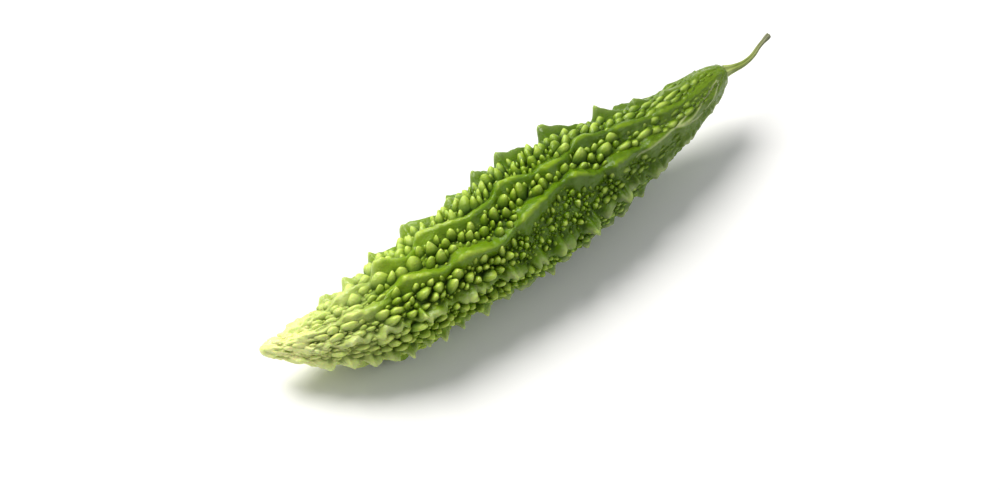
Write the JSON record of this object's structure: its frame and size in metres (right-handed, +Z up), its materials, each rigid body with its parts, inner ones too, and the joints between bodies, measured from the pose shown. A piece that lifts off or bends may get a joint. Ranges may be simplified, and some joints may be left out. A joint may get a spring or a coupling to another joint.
{
  "type": "bitter gourd",
  "caption": "Whole bitter gourd lying on its side, with toothed lengthwise ridges, rounded bumps between them, a pale pointed blossom tip and a short cut stalk.",
  "frame": {"origin": "on the surface the gourd rests on, under the middle of its bounding box", "axes": "+X along the gourd from the blossom tip to the cut stalk, +Z up"},
  "size_m": [0.233, 0.0497, 0.0456],
  "materials": {
    "gourd_skin": "waxy, half gloss",
    "stalk_skin": "matt, grooved"
  },
  "bodies": {
    "root": {"fruit": "gourd_skin", "stalk": "stalk_skin"}
  },
  "joints": []
}
